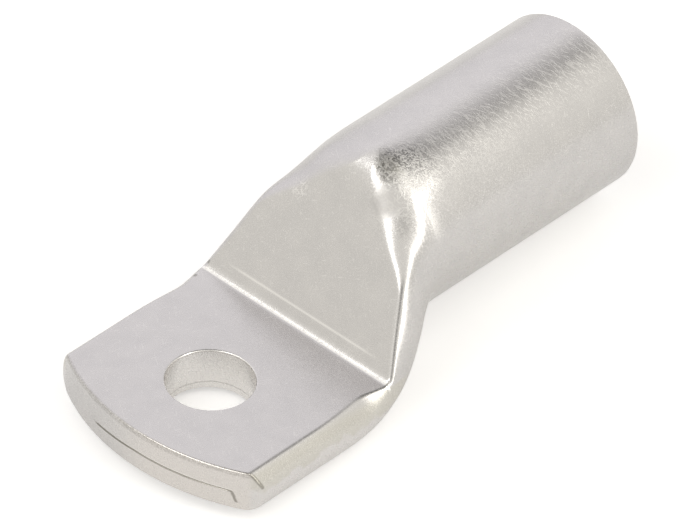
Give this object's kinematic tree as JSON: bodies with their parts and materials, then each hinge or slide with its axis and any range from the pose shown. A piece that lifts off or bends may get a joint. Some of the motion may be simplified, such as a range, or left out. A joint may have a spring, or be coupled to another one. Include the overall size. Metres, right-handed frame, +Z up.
{
  "type": "tubular cable lug",
  "caption": "Tubular crimp cable lug in tinned copper: a round barrel for the conductor, pressed through a sloping face into a flat palm with a round bolt hole.",
  "frame": {"origin": "centre of the bolt hole, on the underside of the palm", "axes": "+X along the barrel towards its open mouth, +Z up through the palm, +Y across it"},
  "size_m": [0.0586, 0.026, 0.02],
  "materials": {
    "tinned_copper": "satin tin plating with fine scratches"
  },
  "bodies": {
    "root": {"cable_lug": "tinned_copper"}
  },
  "joints": []
}
